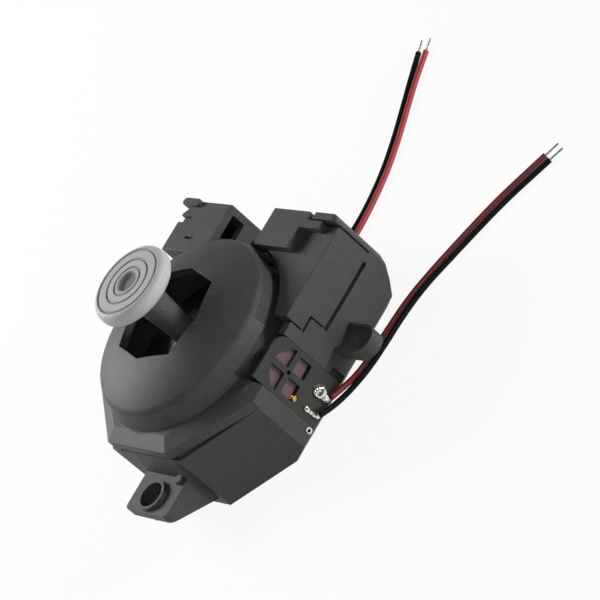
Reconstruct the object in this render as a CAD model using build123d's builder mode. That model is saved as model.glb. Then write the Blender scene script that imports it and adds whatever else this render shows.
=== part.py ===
from build123d import *
from math import asin, atan2, cos, degrees, hypot, radians, sin, tan
import os

os.makedirs("parts", exist_ok=True)

# Driving dimensions in millimetres. The origin is on the stick's axis at the underside of the base.
# +Z is up the stick, +X points at the face with the first sensor board, +Y at the raised corners.

# Case
case_half = 21.0
front_reach = 20.3
rear_reach = 24.5
corner_cut = 11.7
rear_chamfer = 0.8
foot_run = 1.9
foot_rise = 1.6
wall = 1.5
floor_thickness = 1.2
seam_z = 13.3
seam_gap = 0.5
seam_gap_depth = 0.75
block_x = 4.5
block_y = 6.0
block_split_z = 9.85
block_split_y = 8.4
corner_gap = 0.8
corner_gap_depth = 1.1
block_top_z = 17.2
tower_right_x = -8.2
tower_left_x = -20.0
tower_front_y = 14.6
tower_split_z = 14.0
tower_top_z = 18.2
tower_corner_x = -17.5
tower_corner_cut = 2.6
cover_shell = 1.3
pad_top_z = 18.8
piece_gap = 0.3
rear_slope_run = 5.5
rear_slope_z = 7.2
rear_mid_run = 2.3
rear_mid_z = 3.7

# Top cover, dome and gate
cover_overhang = 1.0
cover_front_inset = 1.3
cover_notch_y = 5.6
cover_notch_z = 17.4
cover_left_y = 10.0
cover_rim_z = 15.1
cover_slope_run = 2.4
plateau_z = 16.3
dome_overhang = 0.1
dome_edge_z = 20.1
dome_top_z = 23.6
dome_rise_run = 5.0
dome_rise_z = 22.75
dome_shoulder_round = 2.0
skirt_flare = 1.1
dome_wall_r = 16.9
dome_wall = 1.5
gate_side_reach = 8.8
gate_corner_reach = 9.9

# Stick
pivot_z = 5.2
ball_r = 3.2
neck_r = 1.75
shaft_low_r = 2.3
shaft_high_r = 2.85
shaft_taper_z = 21.8
shoulder_z = 18.8
cap_r = 7.35
cap_top_z = 32.8
cap_under_z = 29.9
cap_edge_drop = 1.4
cap_edge_inset = 0.8
cap_root_flare = 0.75
cap_root_drop = 0.3

# Rocker arches, all of them spheres about the pivot
inner_arch_r = 4.6
arch_gap = 0.3
arch_thickness = 1.2
arch_half_width = 3.2
slot_clearance = 0.2
arch_end_r = 2.2
axle_r = 1.2
running_gap = 0.05
post_in = 8.4
post_out = 10.4
post_half = 3.0
plain_keeper_top_z = 7.8
geared_keeper_top_z = 12.7
peg_r = 0.5
peg_y = 2.3
tilt_limit = 14.0

# Gears and code wheels
hub_shift = 0.9
wheel_z = 11.4
gear_ratio = 3
pinion_teeth = 8
sector_gap = 1.1
sector_thickness = 1.4
sector_side_teeth = 2
wheel_depth = 3.0
wheel_thickness = 0.8
wheel_r = 4.6
wheel_slots = 24
wheel_axle_r = 0.6
wheel_pin_r = 0.35

# Sensor boards
board_thickness = 0.7
board_low = -5.2
board_high = 3.4
board_x_top_z = 16.9
board_y_top_z = 13.0
board_bottom_z = 1.7
window_r = 3.75
window_side = 3.3
window_bar = 1.1
filter_thickness = 0.3
filter_low_z = 8.3

# Case screws and mounting ears
screw_r = 1.0
screw_head_r = 1.7
screw_head_z = 1.6
screw_top_z = 10.0
boss_r = 2.2
boss_top_z = 4.0
screw_room = 0.15
corner_screw_side_inset = 5.4
corner_screw_rear_inset = 7.3
tower_screw_side_inset = 6.0
tower_screw_rear_inset = 5.5
ear_hole_r = 1.1
front_ear_z = 8.8
front_ear_low_x = -3.3
front_ear_high_x = 8.0
front_ear_run = 8.1
front_ear_x = 2.2
front_ear_out = 5.0
side_ear_z = 6.3
side_ear_thickness = 2.6
side_ear_y = 9.6
side_ear_half = 2.6
side_ear_out = 3.0
side_ear_run = 7.4

# Wires
wire_r = 0.5
strand_r = 0.14
strand_length = 2.9

# Details of the base
riser_top_z = 15.9
tab_left_x = 14.3
tab_top_z = 18.6
ear_wall = 1.5
ear_floor = 1.8
ear_low_z = 1.7
ear_tip_z = 7.0
ear_tip_round = 1.0
ear_ramp_run = 0.9
ear_ramp_top_z = 12.4
ear_boss_r = 2.8
ear_boss_z = 0.7
ear_boss_low_z = 6.0
ear_bore_r = 2.25
ear_bore_depth = 1.6
ear_lug_r = 0.8
side_ear_rim = 0.5
side_ear_pocket = 0.7
rib = 1.0
groove_gap = 0.05
peg_depth = 2.0
keeper_chamfer = 0.6
eyelet_y = -6.0
eyelet_z = 2.4
eyelet_r = 0.45
eyelet_wall = 0.15
eyelet_proud = 0.12
inner_board_depth = 2.8
inner_board_low = -4.0
inner_board_high = 2.2
inner_board_top_z = 9.2
valley_wall_length = 3.4
riser_notch_width = 1.3
riser_notch_low_z = 1.6
riser_notch_high_z = 4.6
riser_notch_depth = 1.2
board_edge = 0.5
board_sill_z = 5.0

# Details of the moving pieces
bowl_r = 6.6
bowl_rim_z = 2.4
bowl_floor_z = 1.9
bowl_hub_r = 3.9
bowl_hub_z = 2.8
slot_mid_r = 3.92
slot_length = 0.8
slot_width = 0.4
wheel_hub_reach = 0.4
cap_ring_radii = [2.7, 4.25, 6.1]
ring_section_r = 0.2
ring_lift = 0.05
dimple_r = 2.0
dimple_depth = 0.6
dust_r = 13.8
dust_thickness = 0.8
dust_half_angle = 38
dust_hub_r = 2.5
dust_hub_height = 2.0
seat_disc_r = 4.2
seat_top_z = 12.5
spring_r = 3.1
spring_wire_r = 0.25
spring_pitch = 1.1
spring_top_z = 17.7

# Details of the covers
cover_rim_wall = 2.6
skirt_flange_z = 14.5
skirt_lip = 0.5
skirt_clearance = 0.5
skirt_end_y = 3.7
edge_break = 0.15
pad_run = 7.2
pad_mid_x = 13.2
pad_step_run = 3.1
pad_far_x = 18.0
tower_window_length = 8.0
tower_window_z = 16.9
tower_slot_place = (-14.4, 17.3)
tower_slot_length = 2.4
tower_slot_width = 0.5
tower_notch_length = 3.2
tower_notch_width = 1.3
tower_notch_depth = 0.9
tower_notch_run = 3.75
tower_lug_reach = 0.9
tower_lug_run = 0.6
tower_lug_length = 4.7
tower_lug_width = 1.4
tower_lug_z = 18.8
thread_gap = 0.02
screw_head_inset = 0.3

# Details of the sensors and the joints of the wires
board_corner_r = 2.4
sensor_z = 7.45
sensor_corner_r = 0.3
emitter_width = 3.0
emitter_height = 1.5
emitter_depth = 1.6
detector_width = 3.6
detector_height = 2.0
detector_depth = 1.5
detector_pitch = 1.4
lens_r = 0.45
lens_depth = 0.2
contact_place = (-3.45, 7.75)
contact_width = 0.9
contact_height = 1.0
contact_depth = 0.5
contact_proud = 0.56
solder_r = 0.85
stub_length = 0.95
pin_recess = 0.5

# Values worked out from the driving dimensions
front_half_width = case_half - corner_cut
side_y = front_reach - corner_cut
cover_front_half = front_half_width - cover_front_inset
dome_r = dome_wall_r + dome_overhang
dome_rise_r = dome_r - dome_rise_run
skirt_r = dome_wall_r + skirt_flare
tower_corner_y = rear_reach - tower_corner_cut
rear_slope_y = rear_reach - rear_slope_run
rear_mid_y = rear_reach - rear_mid_run
pad_y = rear_reach - pad_run
pad_step_y = rear_reach - pad_step_run
valley_wall_y = case_half - valley_wall_length
front_ear_reach = front_reach + front_ear_run
front_ear_y = -front_reach - front_ear_out
ear_ramp_y = front_reach + ear_ramp_run
side_ear_x = case_half + side_ear_out
side_ear_reach = case_half + side_ear_run
post_mid = (post_in + post_out) / 2
board_plane_x = case_half - board_thickness
wheel_x = board_plane_x - wheel_depth
inner_board_x = wheel_x - inner_board_depth
sector_x = post_out + sector_gap
centre_distance = hypot(wheel_z - pivot_z, hub_shift)
pinion_pitch_r = centre_distance / (gear_ratio + 1)
sector_pitch_r = centre_distance - pinion_pitch_r
tooth_module = 2 * pinion_pitch_r / pinion_teeth
mesh_angle = 90 + degrees(asin(hub_shift / centre_distance))
addendum = 0.7 * tooth_module
sector_root_r = sector_pitch_r - 0.95 * tooth_module
pinion_root_r = pinion_pitch_r - 0.95 * tooth_module
root_half_tooth = 0.85 * tooth_module
tip_half_tooth = 0.3 * tooth_module
sector_half_angle = 38
sector_span = 3 * sector_pitch_r
outer_arch_r = inner_arch_r + arch_gap + arch_thickness
seat_r = outer_arch_r + arch_gap
collar_r = axle_r + 0.5
slot_end_room = (neck_r + slot_clearance) / cos(radians(tilt_limit))
outer_slot_half = outer_arch_r * tan(radians(tilt_limit)) + slot_end_room
inner_slot_half = inner_arch_r * tan(radians(tilt_limit)) + slot_end_room
cover_half = case_half + cover_overhang
pivot_plane = Plane.XY.offset(pivot_z)
swap_plane = Plane(origin=(0, 0, 0), x_dir=(0, 0, 1), z_dir=(1, -1, 0))
cover_screw_places = [(12.5, -11.5), (-12.5, -11.5)]
corner_screw_place = (case_half - corner_screw_side_inset, rear_reach - corner_screw_rear_inset)
tower_screw_place = (tower_left_x + tower_screw_side_inset, rear_reach - tower_screw_rear_inset)
all_screw_places = cover_screw_places + [corner_screw_place, tower_screw_place]

# Outline of the base seen from above, from the front face round by the right
case_points = [
    (-front_half_width, -front_reach),
    (front_half_width, -front_reach),
    (case_half, -side_y),
    (case_half, rear_reach),
    (block_x, rear_reach),
    (block_x, case_half),
    (tower_right_x, case_half),
    (tower_right_x, rear_reach),
    (tower_corner_x, rear_reach),
    (tower_left_x, tower_corner_y),
    (tower_left_x, tower_front_y),
    (-case_half, tower_front_y - case_half - tower_left_x),
    (-case_half, -side_y),
]

# Plan of the upper corner shell and of the side tower
corner_points = [
    (block_x, block_y),
    (case_half, block_y),
    (case_half, rear_reach - wall),
    (tab_left_x - piece_gap, rear_reach - wall),
    (tab_left_x - piece_gap, rear_reach),
    (block_x, rear_reach),
]
tower_points = [
    (tower_right_x, tower_front_y),
    (tower_right_x, rear_reach),
    (tower_corner_x, rear_reach),
    (tower_left_x, tower_corner_y),
    (tower_left_x, tower_front_y),
]

# Plan of the cover's plateau before its right side is notched
cover_points = [
    (-cover_front_half, -front_reach),
    (cover_front_half, -front_reach),
    (cover_half, -side_y),
    (cover_half, cover_left_y),
    (-case_half, cover_left_y),
    (-case_half, -side_y),
]


def tooth(centre, angle, root_r, tip_r, root_half, tip_half):
    """Corners of one gear tooth that points along the angle from its gear's centre."""
    out = (cos(radians(angle)), sin(radians(angle)))
    side = (-out[1], out[0])
    corners = [(root_r, -root_half), (tip_r, -tip_half), (tip_r, tip_half), (root_r, root_half)]
    return [
        (centre[0] + r * out[0] + w * side[0], centre[1] + r * out[1] + w * side[1])
        for r, w in corners
    ]


def write(piece, name):
    """Labels a finished piece and writes it."""
    piece.part.label = name
    export_step(piece.part, f"parts/{name}.step")


# Hollow of the base: the outline less its wall, kept clear of the sloped rear of the raised corner
with BuildPart() as cavity:
    with BuildSketch(Plane.XY.offset(floor_thickness)):
        Polygon(*case_points)
        offset(amount=-wall, kind=Kind.INTERSECTION, mode=Mode.REPLACE)
    extrude(amount=block_top_z)
    with BuildSketch(Plane.YZ.offset(block_x)):
        Polygon(
            (rear_slope_y - wall, 0),
            (rear_slope_y - wall, floor_thickness),
            (rear_mid_y - wall, rear_mid_z),
            (rear_reach - wall, rear_slope_z),
            (rear_reach, rear_slope_z),
            (rear_reach, 0),
        )
    extrude(amount=case_half, mode=Mode.SUBTRACT)

# Recess for a side board in the outer face, with an opening behind it that the board covers
with BuildPart() as board_recess:
    with BuildSketch(Plane.XY.offset(board_bottom_z)):
        with Locations((board_plane_x, (board_low + board_high) / 2)):
            Rectangle(2 * board_thickness, board_high - board_low + 2 * groove_gap,
                      align=(Align.MIN, Align.CENTER))
    extrude(amount=board_x_top_z)
    with BuildSketch(Plane.XY.offset(board_sill_z)):
        with Locations((board_plane_x, (board_low + board_high) / 2)):
            Rectangle(2 * wall, board_high - board_low - 2 * board_edge)
    extrude(amount=board_x_top_z)

# Base housing: a tray with bearing posts, screw bosses, slots for the boards and two screw ears
with BuildPart() as base_housing:
    with BuildSketch():
        Polygon(*case_points)
    extrude(amount=seam_z)
    with BuildSketch(Plane.XY.offset(seam_z)):
        Polygon(*tower_points)
    extrude(amount=tower_split_z - seam_z)
    add(cavity.part, mode=Mode.SUBTRACT)
    # Lower walls under the raised corner, in the valley and behind the dome
    with BuildSketch(Plane.XY.offset(block_split_z)):
        with Locations((block_x - wall, block_split_y)):
            Rectangle(case_half, rear_reach, align=(Align.MIN, Align.MIN))
        with Locations((tower_right_x, dome_wall_r)):
            Rectangle(case_half, rear_reach, align=(Align.MIN, Align.MIN))
    extrude(amount=seam_z, mode=Mode.SUBTRACT)
    # Shadow gap under the cover, in the outer half of the wall
    with BuildSketch(Plane.XY.offset(seam_z - seam_gap)):
        with Locations((0, -rear_reach)):
            Rectangle(4 * case_half, 2 * rear_reach + cover_left_y * 2)
        with BuildSketch(mode=Mode.PRIVATE) as inner_half:
            Polygon(*case_points)
            offset(amount=-seam_gap_depth, kind=Kind.INTERSECTION, mode=Mode.REPLACE)
        add(inner_half.sketch, mode=Mode.SUBTRACT)
    extrude(amount=seam_gap, mode=Mode.SUBTRACT)
    # Parting gap under the upper corner shell
    with BuildSketch(Plane.XY.offset(block_split_z - corner_gap)):
        with Locations((case_half, block_split_y)):
            Rectangle(corner_gap_depth, rear_reach - 2 * wall - block_split_y,
                      align=(Align.MAX, Align.MIN))
    extrude(amount=corner_gap, mode=Mode.SUBTRACT)
    # Riser beside the board and the tall tab behind the upper corner shell
    with BuildSketch(Plane.XY):
        with Locations((case_half, board_high + groove_gap)):
            Rectangle(wall, block_y - piece_gap - board_high - groove_gap, align=(Align.MAX, Align.MIN))
    extrude(amount=riser_top_z)
    with BuildSketch(Plane.YZ.offset(case_half)):
        with Locations((board_high + groove_gap, riser_notch_low_z)):
            Rectangle(riser_notch_width, riser_notch_high_z - riser_notch_low_z,
                      align=(Align.MIN, Align.MIN))
    extrude(amount=-riser_notch_depth, mode=Mode.SUBTRACT)
    with BuildSketch(Plane.XZ.offset(-rear_reach + wall - piece_gap)):
        with Locations((tab_left_x, block_split_z - corner_gap)):
            Rectangle(case_half - tab_left_x, tab_top_z - block_split_z + corner_gap,
                      align=(Align.MIN, Align.MIN))
    extrude(amount=-(wall - piece_gap))
    fillet(base_housing.edges().filter_by(Axis.Y).group_by(Axis.Z)[-1], radius=1.2)
    # Sloped rear foot of the raised corner
    with BuildSketch(Plane.YZ.offset(block_x - 1)):
        Polygon(
            (rear_slope_y, -1),
            (rear_slope_y, 0),
            (rear_mid_y, rear_mid_z),
            (rear_reach, rear_slope_z),
            (rear_reach + 1, rear_slope_z),
            (rear_reach + 1, -1),
        )
    extrude(amount=case_half, mode=Mode.SUBTRACT)
    # Bevels of the raised corner's rear edge and of the foot on the board's side
    with BuildSketch(Plane.XY):
        Polygon(
            (case_half, rear_reach),
            (case_half - rear_chamfer, rear_reach),
            (case_half, rear_reach - rear_chamfer),
        )
    extrude(amount=tab_top_z, mode=Mode.SUBTRACT)
    with BuildSketch(Plane.XZ.offset(rear_reach)):
        Polygon((case_half, 0), (case_half, foot_rise), (case_half - foot_run, 0))
    extrude(amount=-3 * rear_reach, mode=Mode.SUBTRACT)
    # Walls on both sides of the valley
    with BuildSketch(Plane.XY):
        with Locations((block_x, valley_wall_y)):
            Rectangle(wall, case_half - valley_wall_y, align=(Align.MIN, Align.MIN))
    extrude(amount=block_split_z)
    with BuildSketch(Plane.XY):
        with Locations((tower_right_x, valley_wall_y)):
            Rectangle(wall, case_half - valley_wall_y, align=(Align.MAX, Align.MIN))
    extrude(amount=tower_split_z)
    # Screw bosses
    with BuildSketch(Plane.XY.offset(floor_thickness)):
        with Locations(*all_screw_places):
            Circle(boss_r)
    extrude(amount=boss_top_z - floor_thickness)
    with Locations(*[(x, y, 0) for x, y in all_screw_places]):
        Cylinder(screw_head_r + screw_room, screw_head_z, align=(Align.CENTER, Align.CENTER, Align.MIN),
                 mode=Mode.SUBTRACT)
        Cylinder(screw_r + screw_room, boss_top_z, align=(Align.CENTER, Align.CENTER, Align.MIN),
                 mode=Mode.SUBTRACT)
    # Bearing posts for both rockers, open at the top
    for turn in range(4):
        with BuildSketch(Plane.XY.offset(floor_thickness).rotated((0, 0, 90 * turn))):
            with Locations(((post_in + post_out) / 2, 0)):
                Rectangle(post_out - post_in, 2 * post_half)
        extrude(amount=pivot_z - floor_thickness)
    for bearing in (Plane.YZ, Plane.XZ):
        with BuildSketch(bearing.offset(-post_out)):
            with Locations((0, pivot_z)):
                Circle(axle_r + running_gap)
        extrude(amount=2 * post_out, mode=Mode.SUBTRACT)
    for turn in range(4):
        with BuildSketch(Plane.XY.offset(pivot_z).rotated((0, 0, 90 * turn))):
            with Locations((post_mid, -peg_y), (post_mid, peg_y)):
                Circle(peg_r + running_gap)
        extrude(amount=-peg_depth, mode=Mode.SUBTRACT)
    # Recess and window for the side board, and the same for the board of the other axis
    add(board_recess.part, mode=Mode.SUBTRACT)
    mirror(board_recess.part, about=swap_plane, mode=Mode.SUBTRACT)
    # Ribs that hold the two inner boards upright
    with BuildSketch(Plane.XY.offset(floor_thickness)):
        with Locations((inner_board_x + board_thickness / 2, inner_board_low - groove_gap),
                       (inner_board_x + board_thickness / 2, inner_board_high + groove_gap + rib)):
            Rectangle(board_thickness + 2 * rib, rib, align=(Align.CENTER, Align.MAX))
        with Locations((inner_board_low - groove_gap, inner_board_x + board_thickness / 2),
                       (inner_board_high + groove_gap + rib, inner_board_x + board_thickness / 2)):
            Rectangle(rib, board_thickness + 2 * rib, align=(Align.MAX, Align.CENTER))
    extrude(amount=boss_top_z)
    # Front ear: a plate on two side gussets, open below, with a ringed and counterbored hole
    with BuildSketch(Plane.YZ.offset(front_ear_low_x)):
        Polygon(
            (-front_reach + wall / 2, ear_low_z),
            (-front_reach + wall / 2, ear_ramp_top_z),
            (-front_reach, ear_ramp_top_z),
            (-ear_ramp_y, front_ear_z),
            (-front_ear_reach, front_ear_z),
            (-front_ear_reach, ear_tip_z),
            (-front_reach, ear_low_z),
        )
    extrude(amount=front_ear_high_x - front_ear_low_x)
    with BuildSketch(Plane.XY.offset(front_ear_z - ear_floor)):
        with Locations(((front_ear_low_x + front_ear_high_x) / 2, -front_reach)):
            Rectangle(front_ear_high_x - front_ear_low_x - 2 * ear_wall,
                      front_ear_reach - front_reach - ear_wall, align=(Align.CENTER, Align.MAX))
    extrude(amount=-front_ear_z, mode=Mode.SUBTRACT)
    fillet(base_housing.edges().filter_by(Axis.Z).group_by(Axis.Y)[0], radius=ear_tip_round)
    with BuildSketch(Plane.XY.offset(ear_boss_low_z)):
        with Locations((front_ear_x, front_ear_y)):
            Circle(ear_boss_r)
    extrude(amount=front_ear_z + ear_boss_z - ear_boss_low_z)
    with Locations((front_ear_x, front_ear_y, front_ear_z + ear_boss_z)):
        CounterBoreHole(ear_hole_r, ear_bore_r, ear_bore_depth, depth=front_ear_z)
    with Locations((front_ear_high_x - ear_wall, front_ear_y + ear_boss_r + ear_lug_r, front_ear_z)):
        Cylinder(ear_lug_r, ear_boss_z, align=(Align.CENTER, Align.CENTER, Align.MIN))
    # Side ear: a round-nosed tongue, hollowed inside its rim
    with BuildSketch(Plane.XY.offset(side_ear_z - side_ear_thickness)):
        with Locations((case_half - wall / 2, side_ear_y)):
            Rectangle(side_ear_reach - side_ear_half - case_half + wall / 2, 2 * side_ear_half,
                      align=(Align.MIN, Align.CENTER))
        with Locations((side_ear_reach - side_ear_half, side_ear_y)):
            Circle(side_ear_half)
    extrude(amount=side_ear_thickness)
    with BuildSketch(Plane.XY.offset(side_ear_z)):
        with Locations((case_half, side_ear_y)):
            Rectangle(side_ear_reach - side_ear_half - case_half, 2 * (side_ear_half - side_ear_rim),
                      align=(Align.MIN, Align.CENTER))
        with Locations((side_ear_reach - side_ear_half, side_ear_y)):
            Circle(side_ear_half - side_ear_rim)
    extrude(amount=-side_ear_pocket, mode=Mode.SUBTRACT)
    with Locations((side_ear_x, side_ear_y, side_ear_z)):
        Hole(ear_hole_r)
    # Eyelet hole in the front strip of the side face
    with Locations(Plane.YZ.offset(case_half)):
        with Locations((eyelet_y, eyelet_z)):
            Cylinder(eyelet_r, wall, align=(Align.CENTER, Align.CENTER, Align.MAX), mode=Mode.SUBTRACT)

write(base_housing, "base_housing")

# Eyelet pressed through the side face
with BuildPart() as eyelet:
    with BuildSketch(Plane.YZ.offset(case_half - wall)):
        with Locations((eyelet_y, eyelet_z)):
            Circle(eyelet_r)
            Circle(eyelet_r - eyelet_wall, mode=Mode.SUBTRACT)
    extrude(amount=wall + eyelet_proud)
    with BuildSketch(Plane.YZ.offset(case_half)):
        with Locations((eyelet_y, eyelet_z)):
            Circle(eyelet_r + eyelet_wall)
            Circle(eyelet_r - eyelet_wall, mode=Mode.SUBTRACT)
    extrude(amount=eyelet_proud)

write(eyelet, "eyelet")

# Bowl: a dish on the floor with a spherical seat for the ball of the stick
with BuildPart() as bowl:
    with BuildSketch(Plane.XZ):
        Polygon(
            (0, floor_thickness),
            (bowl_r, floor_thickness),
            (bowl_r, bowl_rim_z),
            (bowl_r - rib, bowl_rim_z),
            (bowl_r - rib, bowl_floor_z),
            (bowl_hub_r, bowl_floor_z),
            (bowl_hub_r - rib / 2, bowl_hub_z),
            (0, bowl_hub_z),
        )
    revolve(axis=Axis.Z)
    with Locations((0, 0, pivot_z)):
        Sphere(ball_r + running_gap, mode=Mode.SUBTRACT)

write(bowl, "ball_bowl")

# Keeper blocks: two plain ones and two that also carry a code wheel's axle
with BuildPart() as keeper_plain:
    with BuildSketch(Plane.XY.offset(pivot_z)):
        with Locations((-post_mid, 0)):
            Rectangle(post_out - post_in, 2 * post_half)
    extrude(amount=plain_keeper_top_z - pivot_z)
    chamfer(keeper_plain.edges().group_by(Axis.Z)[-1].filter_by(Axis.X), length=keeper_chamfer)
    with BuildSketch(Plane.XY.offset(pivot_z)):
        with Locations((-post_mid, -peg_y), (-post_mid, peg_y)):
            Circle(peg_r)
    extrude(amount=-peg_depth + piece_gap)
    with BuildSketch(Plane.YZ.offset(-post_out)):
        with Locations((0, pivot_z)):
            Circle(axle_r + running_gap)
    extrude(amount=post_out - post_in, mode=Mode.SUBTRACT)

with BuildPart() as keeper_geared:
    with BuildSketch(Plane.XY.offset(pivot_z)):
        with Locations((post_mid, 0)):
            Rectangle(post_out - post_in, 2 * post_half)
    extrude(amount=geared_keeper_top_z - pivot_z)
    chamfer(keeper_geared.edges().group_by(Axis.Z)[-1].filter_by(Axis.X), length=keeper_chamfer)
    with BuildSketch(Plane.XY.offset(pivot_z)):
        with Locations((post_mid, -peg_y), (post_mid, peg_y)):
            Circle(peg_r)
    extrude(amount=-peg_depth + piece_gap)
    with BuildSketch(Plane.YZ.offset(post_in)):
        with Locations((0, pivot_z)):
            Circle(axle_r + running_gap)
        with Locations((-hub_shift, wheel_z)):
            Circle(wheel_axle_r + running_gap)
    extrude(amount=post_out - post_in, mode=Mode.SUBTRACT)

with BuildPart() as keeper_plain_y:
    mirror(keeper_plain.part, about=swap_plane)

with BuildPart() as keeper_geared_y:
    mirror(keeper_geared.part, about=swap_plane)

write(keeper_plain, "plain_keeper_x")
write(keeper_geared, "geared_keeper_x")
write(keeper_plain_y, "plain_keeper_y")
write(keeper_geared_y, "geared_keeper_y")


def sector_faces(line_angle):
    """Corners of each tooth of a rocker's toothed sector, about the pivot."""
    pitch_angle = 360 / (pinion_teeth * gear_ratio)
    return [
        tooth((0, pivot_z), line_angle + k * pitch_angle, sector_root_r - tooth_module,
              sector_pitch_r + addendum, root_half_tooth, tip_half_tooth)
        for k in range(-sector_side_teeth, sector_side_teeth + 1)
    ]


def pinion_faces(line_angle):
    """Corners of each tooth of the pinion, with a gap that faces the sector at rest."""
    hub = (-hub_shift, wheel_z)
    pitch_angle = 360 / pinion_teeth
    return [
        tooth(hub, line_angle + 180 + (k + 0.5) * pitch_angle, 0, pinion_pitch_r + addendum,
              root_half_tooth, tip_half_tooth)
        for k in range(pinion_teeth)
    ]


# Outer rocker: a slotted arch about the X axis with an axle at each end and one toothed sector
with BuildPart() as rocker_x:
    with Locations((0, 0, pivot_z)):
        Sphere(outer_arch_r)
        Sphere(outer_arch_r - arch_thickness, mode=Mode.SUBTRACT)
    with BuildSketch(Plane.YZ):
        with Locations((0, pivot_z)):
            Rectangle(2 * arch_half_width, outer_arch_r, align=(Align.CENTER, Align.MIN))
            Circle(arch_end_r)
    extrude(amount=outer_arch_r, both=True, mode=Mode.INTERSECT)
    with BuildSketch(pivot_plane):
        SlotOverall(2 * outer_slot_half, 2 * (neck_r + slot_clearance))
    extrude(amount=outer_arch_r, mode=Mode.SUBTRACT)
    for side, reach in ((1, sector_x), (-1, post_out)):
        with BuildSketch(Plane.YZ.offset(side * (outer_arch_r - arch_thickness / 2))):
            with Locations((0, pivot_z)):
                Circle(collar_r)
        extrude(amount=side * (post_in - piece_gap - outer_arch_r + arch_thickness / 2))
        with BuildSketch(Plane.YZ.offset(side * (outer_arch_r - arch_thickness / 2))):
            with Locations((0, pivot_z)):
                Circle(axle_r)
        extrude(amount=side * (reach - outer_arch_r + arch_thickness / 2))
    with BuildSketch(Plane.YZ.offset(sector_x)):
        with Locations((0, pivot_z)):
            Circle(sector_root_r)
        Polygon(
            (0, pivot_z),
            (sector_span * cos(radians(mesh_angle - sector_half_angle)),
             pivot_z + sector_span * sin(radians(mesh_angle - sector_half_angle))),
            (sector_span * cos(radians(mesh_angle + sector_half_angle)),
             pivot_z + sector_span * sin(radians(mesh_angle + sector_half_angle))),
            mode=Mode.INTERSECT,
        )
        with Locations((0, pivot_z)):
            Circle(collar_r)
        for corners in sector_faces(mesh_angle):
            Polygon(*corners)
    extrude(amount=sector_thickness)

write(rocker_x, "rocker_x")

# Inner rocker: the same about the Y axis, under the outer one and over the ball
with BuildPart() as rocker_y:
    with Locations((0, 0, pivot_z)):
        Sphere(inner_arch_r)
        Sphere(inner_arch_r - arch_thickness, mode=Mode.SUBTRACT)
    with BuildSketch(Plane.XZ):
        with Locations((0, pivot_z)):
            Rectangle(2 * arch_half_width, inner_arch_r, align=(Align.CENTER, Align.MIN))
            Circle(arch_end_r - rib / 4)
    extrude(amount=inner_arch_r, both=True, mode=Mode.INTERSECT)
    with BuildSketch(pivot_plane):
        SlotOverall(2 * inner_slot_half, 2 * (neck_r + slot_clearance), rotation=90)
    extrude(amount=inner_arch_r, mode=Mode.SUBTRACT)
    for side, reach in ((-1, sector_x), (1, post_out)):
        with BuildSketch(Plane.XZ.offset(side * (inner_arch_r - arch_thickness / 2))):
            with Locations((0, pivot_z)):
                Circle(collar_r)
        extrude(amount=side * (post_in - piece_gap - inner_arch_r + arch_thickness / 2))
        with BuildSketch(Plane.XZ.offset(side * (inner_arch_r - arch_thickness / 2))):
            with Locations((0, pivot_z)):
                Circle(axle_r)
        extrude(amount=side * (reach - inner_arch_r + arch_thickness / 2))
    with BuildSketch(Plane.XZ.offset(-sector_x)):
        with Locations((0, pivot_z)):
            Circle(sector_root_r)
        Polygon(
            (0, pivot_z),
            (sector_span * cos(radians(mesh_angle - sector_half_angle)),
             pivot_z + sector_span * sin(radians(mesh_angle - sector_half_angle))),
            (sector_span * cos(radians(mesh_angle + sector_half_angle)),
             pivot_z + sector_span * sin(radians(mesh_angle + sector_half_angle))),
            mode=Mode.INTERSECT,
        )
        with Locations((0, pivot_z)):
            Circle(collar_r)
        for corners in sector_faces(mesh_angle):
            Polygon(*corners)
    extrude(amount=-sector_thickness)

write(rocker_y, "rocker_y")

# Code wheel: slotted disc, axle and pinion in one moulding
with BuildPart() as encoder_wheel_x:
    hub_place = (-hub_shift, wheel_z)
    with BuildSketch(Plane.YZ.offset(wheel_x)):
        with Locations(hub_place):
            Circle(wheel_r)
            with PolarLocations(slot_mid_r, wheel_slots):
                Rectangle(slot_length, slot_width, mode=Mode.SUBTRACT)
    extrude(amount=wheel_thickness)
    with BuildSketch(Plane.YZ.offset(wheel_x - wheel_hub_reach)):
        with Locations(hub_place):
            Circle(2 * wheel_axle_r)
    extrude(amount=2 * wheel_hub_reach + wheel_thickness)
    with BuildSketch(Plane.YZ.offset(post_in + piece_gap)):
        with Locations(hub_place):
            Circle(wheel_axle_r)
    extrude(amount=board_plane_x - filter_thickness - piece_gap - post_in - piece_gap)
    with BuildSketch(Plane.YZ.offset(wheel_x)):
        with Locations(hub_place):
            Circle(wheel_pin_r)
    extrude(amount=case_half - wheel_x - pin_recess)
    with BuildSketch(Plane.YZ.offset(post_out + piece_gap)):
        with Locations(hub_place):
            Circle(wheel_axle_r + piece_gap)
    extrude(amount=sector_x - post_out - piece_gap)
    with BuildSketch(Plane.YZ.offset(sector_x - 0.1)):
        with Locations(hub_place):
            Circle(pinion_root_r)
        for corners in pinion_faces(mesh_angle):
            Polygon(*corners)
    extrude(amount=sector_thickness + 0.2)

with BuildPart() as encoder_wheel_y:
    mirror(encoder_wheel_x.part, about=swap_plane)

write(encoder_wheel_x, "code_wheel_x")
write(encoder_wheel_y, "code_wheel_y")

# Stick: ball, neck, tapered shaft and ringed cap, turned about the Z axis in one piece
ball_neck_z = pivot_z + (ball_r**2 - neck_r**2) ** 0.5
cap_edge_z = cap_top_z - cap_edge_drop
cap_flat_r = cap_r - cap_edge_inset
cap_root_r = shaft_high_r + cap_root_flare
cap_root_z = cap_under_z - cap_root_drop

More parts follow.
